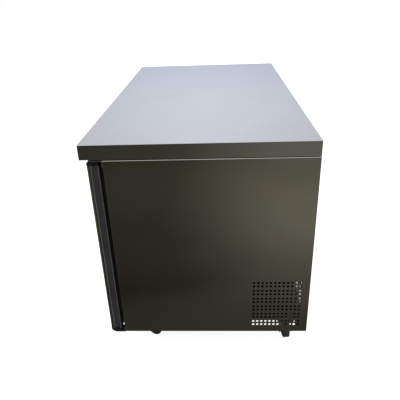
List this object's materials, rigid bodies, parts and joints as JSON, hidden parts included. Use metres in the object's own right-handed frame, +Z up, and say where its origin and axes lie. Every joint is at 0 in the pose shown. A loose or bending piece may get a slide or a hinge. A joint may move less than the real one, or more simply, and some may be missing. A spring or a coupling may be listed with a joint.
{
  "type": "worktop freezer counter",
  "caption": "Low freezer counter with a steel worktop, hinged front doors, a perforated machine bay and casters.",
  "frame": {"origin": "on the floor under the middle of the counter", "axes": "+Z up, +X to the right seen from the front, -Y towards the front with the doors"},
  "size_m": [1.2, 0.7, 0.8],
  "materials": {
    "brushed_stainless": "brushed stainless steel",
    "polished_stainless": "bright-rolled stainless sheet",
    "galvanised_steel": "galvanised sheet",
    "grille_black": "black powder coat",
    "board": "particle board",
    "foam_yellow": "polyurethane foam",
    "liner_aluminium": "embossed sheet",
    "dark_plastic": "moulded, satin",
    "gloss_black_plastic": "moulded, glossy",
    "seal_rubber": "soft PVC",
    "window": "smoked window",
    "zinc": "zinc plated",
    "wheel_polymer": "moulded wheel",
    "brake_black": "black coat",
    "compressor_black": "black enamel",
    "motor_grey": "grey enamel",
    "copper": "copper tube"
  },
  "bodies": {
    "root": {"worktop_sheet": "brushed_stainless", "worktop_core": "board", "side_panel_right": "polished_stainless", "side_panel_left": "polished_stainless", "top_plate": "galvanised_steel", "base_pan": "galvanised_steel", "rear_panel": "galvanised_steel", "rear_grille": "grille_black", "grille_screws": "zinc", "cable_gland": "dark_plastic", "base_frame": "grille_black", "insulation": "foam_yellow", "inner_liner": "liner_aluminium", "front_frame": "dark_plastic", "wire_shelves": "zinc", "shelf_supports": "liner_aluminium", "evaporator_coil": "liner_aluminium", "evaporator_cover": "liner_aluminium", "evaporator_fan_motor": "motor_grey", "compressor_tray": "galvanised_steel", "compressor_grommets": "seal_rubber", "compressor": "compressor_black", "relay_box": "dark_plastic", "condenser": "grille_black", "condenser_shroud": "dark_plastic", "condenser_fan_motor": "motor_grey", "refrigerant_lines": "copper", "condensate_pan": "dark_plastic", "hinge_brackets": "zinc", "controller": "dark_plastic", "controller_window": "window", "caster_plates": "zinc", "caster_bolts": "zinc"},
    "door_right": {"door_right_skin": "brushed_stainless", "door_right_foam": "foam_yellow", "door_right_inner_panel": "dark_plastic", "door_right_gasket": "seal_rubber", "door_right_handle": "gloss_black_plastic", "door_right_end_caps": "gloss_black_plastic"},
    "door_left": {"door_left_skin": "brushed_stainless", "door_left_foam": "foam_yellow", "door_left_inner_panel": "dark_plastic", "door_left_gasket": "seal_rubber", "door_left_handle": "gloss_black_plastic", "door_left_end_caps": "gloss_black_plastic"},
    "evaporator_fan": {"evaporator_fan_blade": "gloss_black_plastic"},
    "condenser_fan": {"condenser_fan_blade": "gloss_black_plastic"},
    "key_set": {"key_set": "dark_plastic"},
    "key_up": {"key_up": "dark_plastic"},
    "key_down": {"key_down": "dark_plastic"},
    "caster_front_right": {"caster_fork_front_right": "zinc"},
    "wheel_front_right": {"caster_wheel_front_right": "wheel_polymer"},
    "brake_front_right": {"caster_brake_front_right": "brake_black"},
    "caster_front_left": {"caster_fork_front_left": "zinc"},
    "wheel_front_left": {"caster_wheel_front_left": "wheel_polymer"},
    "brake_front_left": {"caster_brake_front_left": "brake_black"},
    "caster_rear_right": {"caster_fork_rear_right": "zinc"},
    "wheel_rear_right": {"caster_wheel_rear_right": "wheel_polymer"},
    "caster_rear_left": {"caster_fork_rear_left": "zinc"},
    "wheel_rear_left": {"caster_wheel_rear_left": "wheel_polymer"}
  },
  "joints": [
    {"name": "door_right_hinge", "type": "hinge", "parent": "root", "child": "door_right", "pos_m": [0.584, -0.311, 0.423], "axis": [0, 0, 1], "range_deg": [0, 110], "stiffness_Nm_per_rad": 0.5, "springref_deg": -8.59},
    {"name": "door_left_hinge", "type": "hinge", "parent": "root", "child": "door_left", "pos_m": [-0.584, -0.311, 0.423], "axis": [0, 0, -1], "range_deg": [0, 110], "stiffness_Nm_per_rad": 0.5, "springref_deg": -8.59},
    {"name": "evaporator_fan_spin", "type": "hinge", "parent": "root", "child": "evaporator_fan", "pos_m": [0, 0.2, 0.61], "axis": [0, -1, 0], "continuous": true},
    {"name": "condenser_fan_spin", "type": "hinge", "parent": "root", "child": "condenser_fan", "pos_m": [0.445, 0.236, 0.206], "axis": [1, 0, 0], "continuous": true},
    {"name": "key_set_press", "type": "slide", "parent": "root", "child": "key_set", "axis": [0, 1, 0], "range_m": [0, 0.0006], "stiffness_N_per_m": 600},
    {"name": "key_up_press", "type": "slide", "parent": "root", "child": "key_up", "axis": [0, 1, 0], "range_m": [0, 0.0006], "stiffness_N_per_m": 600},
    {"name": "key_down_press", "type": "slide", "parent": "root", "child": "key_down", "axis": [0, 1, 0], "range_m": [0, 0.0006], "stiffness_N_per_m": 600},
    {"name": "caster_swivel_front_right", "type": "hinge", "parent": "root", "child": "caster_front_right", "pos_m": [0.498, -0.208, 0.07], "axis": [0, 0, 1], "continuous": true},
    {"name": "wheel_spin_front_right", "type": "hinge", "parent": "caster_front_right", "child": "wheel_front_right", "pos_m": [0.50484, -0.18921, 0.025], "axis": [-0.9397, 0.342, 0], "continuous": true},
    {"name": "brake_press_front_right", "type": "hinge", "parent": "caster_front_right", "child": "brake_front_right", "pos_m": [0.50484, -0.18921, 0.025], "axis": [-0.9397, 0.342, 0], "range_deg": [0, 14]},
    {"name": "caster_swivel_front_left", "type": "hinge", "parent": "root", "child": "caster_front_left", "pos_m": [-0.498, -0.208, 0.07], "axis": [0, 0, 1], "continuous": true},
    {"name": "wheel_spin_front_left", "type": "hinge", "parent": "caster_front_left", "child": "wheel_front_left", "pos_m": [-0.51566, -0.19861, 0.025], "axis": [-0.4695, -0.8829, 0], "continuous": true},
    {"name": "brake_press_front_left", "type": "hinge", "parent": "caster_front_left", "child": "brake_front_left", "pos_m": [-0.51566, -0.19861, 0.025], "axis": [-0.4695, -0.8829, 0], "range_deg": [0, 14]},
    {"name": "caster_swivel_rear_right", "type": "hinge", "parent": "root", "child": "caster_rear_right", "pos_m": [0.498, 0.292, 0.07], "axis": [0, 0, 1], "continuous": true},
    {"name": "wheel_spin_rear_right", "type": "hinge", "parent": "caster_rear_right", "child": "wheel_rear_right", "pos_m": [0.51795, 0.2934, 0.025], "axis": [-0.0698, 0.9976, 0], "continuous": true},
    {"name": "caster_swivel_rear_left", "type": "hinge", "parent": "root", "child": "caster_rear_left", "pos_m": [-0.498, 0.292, 0.07], "axis": [0, 0, 1], "continuous": true},
    {"name": "wheel_spin_rear_left", "type": "hinge", "parent": "caster_rear_left", "child": "wheel_rear_left", "pos_m": [-0.51613, 0.28355, 0.025], "axis": [0.4226, -0.9063, 0], "continuous": true}
  ]
}
